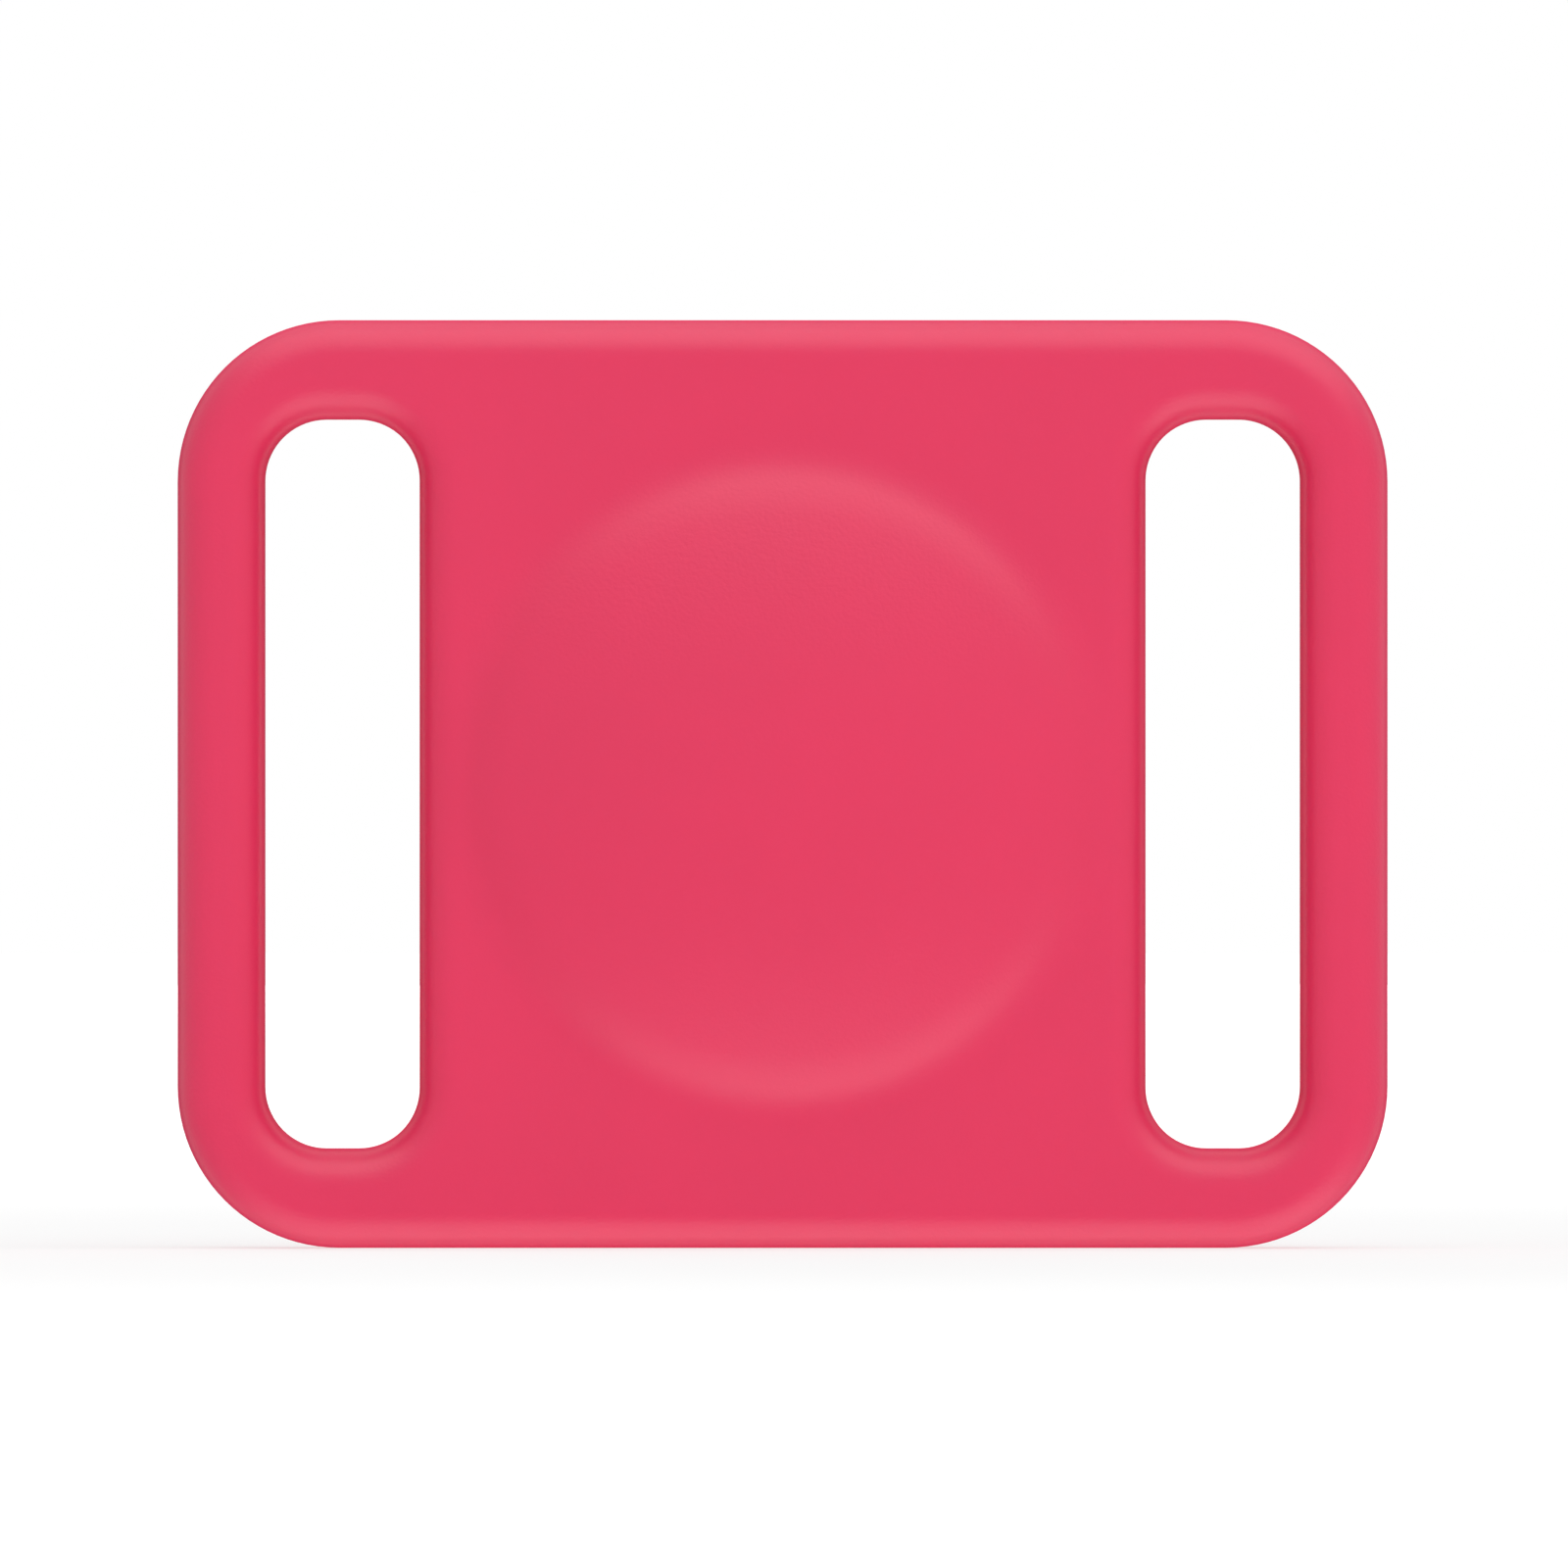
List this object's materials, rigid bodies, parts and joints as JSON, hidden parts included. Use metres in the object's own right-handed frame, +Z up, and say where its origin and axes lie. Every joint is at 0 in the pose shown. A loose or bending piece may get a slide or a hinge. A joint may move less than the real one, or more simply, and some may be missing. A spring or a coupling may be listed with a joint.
{
  "type": "tracker tag holder",
  "caption": "Soft rectangular silicone holder with a domed centre for a coin-shaped tracker tag and a tall strap slot on each side; the tag comes out of the rear and opens for its battery.",
  "frame": {"origin": "centre of the overall bounding box, on the axis of the dome and of the tag", "axes": "+X along the holder's width, to the right as its domed front is looked at; +Z up, along the strap slots; +Y rearwards, along the tag's axis, so the dome faces -Y"},
  "size_m": [0.06, 0.0104, 0.046],
  "materials": {
    "silicone": "satin",
    "white_plastic": "gloss",
    "frame_plastic": "matte",
    "cover_steel": "polished",
    "sheet_steel": "satin",
    "magnet": "satin",
    "copper": "satin",
    "gold_plate": "polished",
    "solder_mask": "satin",
    "package_black": "matte",
    "seal_rubber": "matte",
    "cathode": "matte",
    "lithium": "satin",
    "separator_sheet": "matte"
  },
  "bodies": {
    "holder": {"sleeve": "silicone", "sleeve_lip": "silicone"},
    "tag": {"crown_shell": "white_plastic", "antenna_frame": "frame_plastic", "antenna_traces": "copper", "circuit_board": "solder_mask", "radio_module": "sheet_steel", "board_parts": "package_black", "speaker_yoke": "sheet_steel", "speaker_magnet": "magnet", "pole_plate": "sheet_steel", "voice_coil": "copper", "battery_tray": "white_plastic", "contact_positive": "gold_plate", "contact_negative": "gold_plate"},
    "seal": {"cover_seal": "seal_rubber"},
    "cover": {"cover_plate": "cover_steel", "cover_ring": "white_plastic"},
    "cell": {"cell_can": "sheet_steel", "cathode_pellet": "cathode", "separator": "separator_sheet", "lithium_disc": "lithium", "cell_gasket": "package_black", "cell_cap": "sheet_steel"}
  },
  "joints": [
    {"name": "tag_slide", "type": "slide", "parent": "holder", "child": "tag", "axis": [0, 1, 0], "range_m": [0, 0.014], "deforming": ["sleeve_lip"]},
    {"name": "cover_lift", "type": "slide", "parent": "tag", "child": "seal", "axis": [0, 1, 0], "range_m": [0, 0.01]},
    {"name": "cover_twist", "type": "hinge", "parent": "seal", "child": "cover", "pos_m": [0, 0.00362, 0], "axis": [0, 1, 0], "range_deg": [-30, 0]},
    {"name": "cell_lift", "type": "slide", "parent": "tag", "child": "cell", "axis": [0, 1, 0], "range_m": [0, 0.005]}
  ],
  "couplings": [
    {"joint": "cell_lift", "follows": "cover_lift", "ratio": 0.5}
  ]
}
